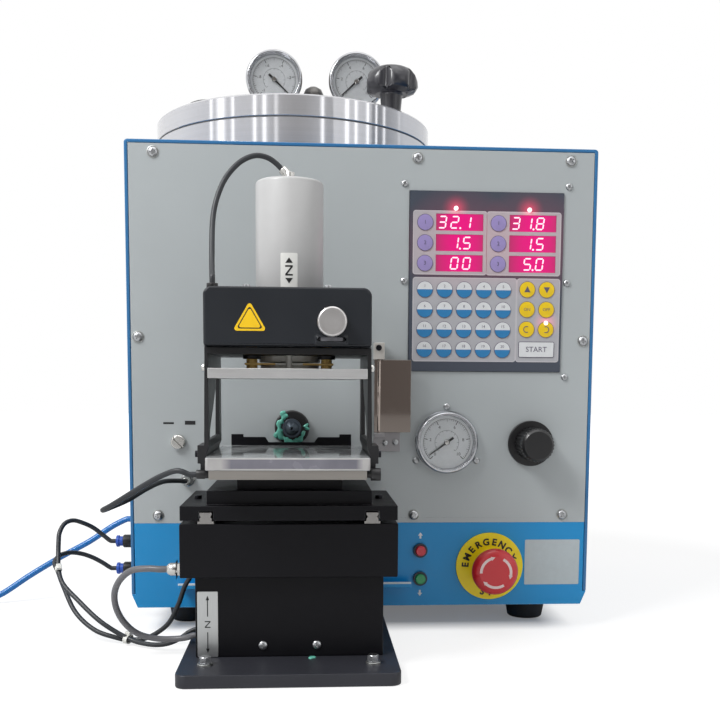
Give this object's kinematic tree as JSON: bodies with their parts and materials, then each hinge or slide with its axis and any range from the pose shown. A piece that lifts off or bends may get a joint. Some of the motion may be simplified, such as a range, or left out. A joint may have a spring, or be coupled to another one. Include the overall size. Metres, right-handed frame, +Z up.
{
  "type": "vacuum wax injector",
  "caption": "Bench vacuum wax injector: sheet metal cabinet with a heated wax pot and bolted lid, digital controls and gauges, and a lifting, sliding pneumatic mould clamp before its nozzle.",
  "frame": {"origin": "on the table under the middle of the machine without its hoses", "axes": "+Z up, +Y from the operator's side to the back, +X to the operator's right"},
  "size_m": [0.6508, 0.52, 0.5385],
  "materials": {
    "blue_paint": "satin",
    "grey_paint": "satin",
    "black_paint": "satin",
    "steel": "brushed",
    "aluminium": "turned",
    "chrome": "polished",
    "rubber": "matte",
    "black_plastic": "matte",
    "yellow_plastic": "gloss",
    "red_plastic": "gloss",
    "green_plastic": "gloss",
    "blue_plastic": "gloss",
    "clear_acrylic": "gloss",
    "glass": "polished",
    "mirror_glass": "polished"
  },
  "bodies": {
    "cabinet": {"cabinet_cover": "blue_paint", "front_panel": "grey_paint", "base_tray": "blue_paint", "rear_panel": "grey_paint", "screws_and_bolts": "steel", "cabinet_feet": "rubber", "controller": "black_plastic", "panel_gauge": "chrome", "panel_gauge_lens": "glass", "regulator_body": "black_plastic", "switch_bodies": "yellow_plastic", "nozzle_flange": "black_plastic", "feed_tube": "steel", "wax_pot": "aluminium", "heater_band": "steel", "lid_seal": "rubber", "vacuum_pump": "aluminium", "mains_inlet": "black_plastic", "mirror_bracket": "steel", "clamp_base": "black_paint", "tower_cover": "black_paint", "lift_cylinder": "aluminium", "hose_fittings": "blue_plastic", "hose_upper": "black_plastic", "supply_hose": "blue_plastic", "supply_coil": "blue_plastic"},
    "panel_gauge_pointer": {"panel_gauge_pointer": "black_plastic"},
    "regulator_knob": {"regulator_knob": "black_plastic"},
    "estop_plunger": {"estop_plunger": "steel"},
    "estop_head": {"estop_head": "red_plastic"},
    "red_button": {"red_button": "red_plastic"},
    "green_button": {"green_button": "green_plastic"},
    "dose_screw": {"dose_screw": "chrome"},
    "nozzle_tip": {"nozzle_tip": "steel"},
    "side_mirror": {"side_mirror": "mirror_glass"},
    "lid": {"pot_lid": "aluminium", "lid_fittings": "chrome", "lid_gauge_lenses": "glass"},
    "pressure_pointer": {"pressure_pointer": "black_plastic"},
    "vacuum_pointer": {"vacuum_pointer": "black_plastic"},
    "lid_knob_front": {"lid_knob_front": "black_plastic"},
    "lid_knob_rear": {"lid_knob_rear": "black_plastic"},
    "lift": {"lift_skirt": "black_paint", "lift_rods": "steel", "slide_rails": "steel", "hose_lower": "black_plastic", "sensor_cables": "black_plastic"},
    "carriage": {"slide_blocks": "steel", "carriage": "black_paint", "mould_bed": "aluminium", "acrylic_plate": "clear_acrylic", "rear_fence": "black_paint", "press_frame": "black_paint", "head_cover": "black_paint", "press_cylinder": "aluminium", "press_fittings": "chrome", "cylinder_hose": "black_plastic"},
    "press": {"clamp_plate": "aluminium", "press_rods": "steel"},
    "head_knob": {"head_knob": "aluminium"}
  },
  "joints": [
    {"name": "panel_gauge_pointer_turn", "type": "hinge", "parent": "cabinet", "child": "panel_gauge_pointer", "pos_m": [0.0731, -0.083, 0.16778], "axis": [0, 1, 0], "range_deg": [-9, 261], "stiffness_Nm_per_rad": 0.01},
    {"name": "pressure_pointer_turn", "type": "hinge", "parent": "lid", "child": "pressure_pointer", "pos_m": [-0.001, 0.049, 0.5114], "axis": [0, 1, 0], "range_deg": [-3, 267], "stiffness_Nm_per_rad": 0.01},
    {"name": "vacuum_pointer_turn", "type": "hinge", "parent": "lid", "child": "vacuum_pointer", "pos_m": [-0.081, 0.049, 0.5114], "axis": [0, 1, 0], "range_deg": [-268, 2], "stiffness_Nm_per_rad": 0.01},
    {"name": "regulator_turn", "type": "hinge", "parent": "cabinet", "child": "regulator_knob", "pos_m": [0.1477, -0.095, 0.16698], "axis": [0, 1, 0], "range_deg": [-720, 720]},
    {"name": "estop_push", "type": "slide", "parent": "cabinet", "child": "estop_plunger", "axis": [0, 1, 0], "range_m": [0, 0.006], "stiffness_N_per_m": 800},
    {"name": "estop_twist", "type": "hinge", "parent": "estop_plunger", "child": "estop_head", "pos_m": [0.1132, -0.1, 0.0574], "axis": [0, 1, 0], "range_deg": [0, 45], "stiffness_Nm_per_rad": 0.05},
    {"name": "red_button_push", "type": "slide", "parent": "cabinet", "child": "red_button", "axis": [0, 1, 0], "range_m": [0, 0.0025], "stiffness_N_per_m": 400},
    {"name": "green_button_push", "type": "slide", "parent": "cabinet", "child": "green_button", "axis": [0, 1, 0], "range_m": [0, 0.0025], "stiffness_N_per_m": 400},
    {"name": "dose_screw_turn", "type": "hinge", "parent": "cabinet", "child": "dose_screw", "pos_m": [-0.1598, -0.08, 0.1674], "axis": [0, 1, 0], "range_deg": [-360, 360]},
    {"name": "nozzle_tip_push", "type": "slide", "parent": "cabinet", "child": "nozzle_tip", "axis": [0, 1, 0], "range_m": [0, 0.004], "stiffness_N_per_m": 1000},
    {"name": "mirror_swing", "type": "hinge", "parent": "cabinet", "child": "side_mirror", "pos_m": [0.0126, -0.088, 0.2078], "axis": [0, 0, 1], "range_deg": [-70, 0]},
    {"name": "lid_lift", "type": "slide", "parent": "cabinet", "child": "lid", "axis": [0, 0, 1], "range_m": [0, 0.08]},
    {"name": "lid_knob_front_turn", "type": "hinge", "parent": "lid", "child": "lid_knob_front", "pos_m": [0.02919, 0.00549, 0.48], "axis": [0, 0, 1], "range_deg": [0, 720]},
    {"name": "lid_knob_rear_turn", "type": "hinge", "parent": "lid", "child": "lid_knob_rear", "pos_m": [-0.15319, 0.12851, 0.48], "axis": [0, 0, 1], "range_deg": [0, 720]},
    {"name": "clamp_lift", "type": "slide", "parent": "cabinet", "child": "lift", "axis": [0, 0, 1], "range_m": [-0.02, 0.003], "deforming": ["hose_lower", "sensor_cables"]},
    {"name": "carriage_slide", "type": "slide", "parent": "lift", "child": "carriage", "axis": [0, 1, 0], "range_m": [0, 0.016], "deforming": ["sensor_cables"]},
    {"name": "press_stroke", "type": "slide", "parent": "carriage", "child": "press", "axis": [0, 0, 1], "range_m": [-0.036, 0], "stiffness_N_per_m": 600, "springref_m": 0.05},
    {"name": "head_knob_turn", "type": "hinge", "parent": "carriage", "child": "head_knob", "pos_m": [-0.032, -0.25, 0.26], "axis": [0, 1, 0], "range_deg": [-135, 135]}
  ]
}
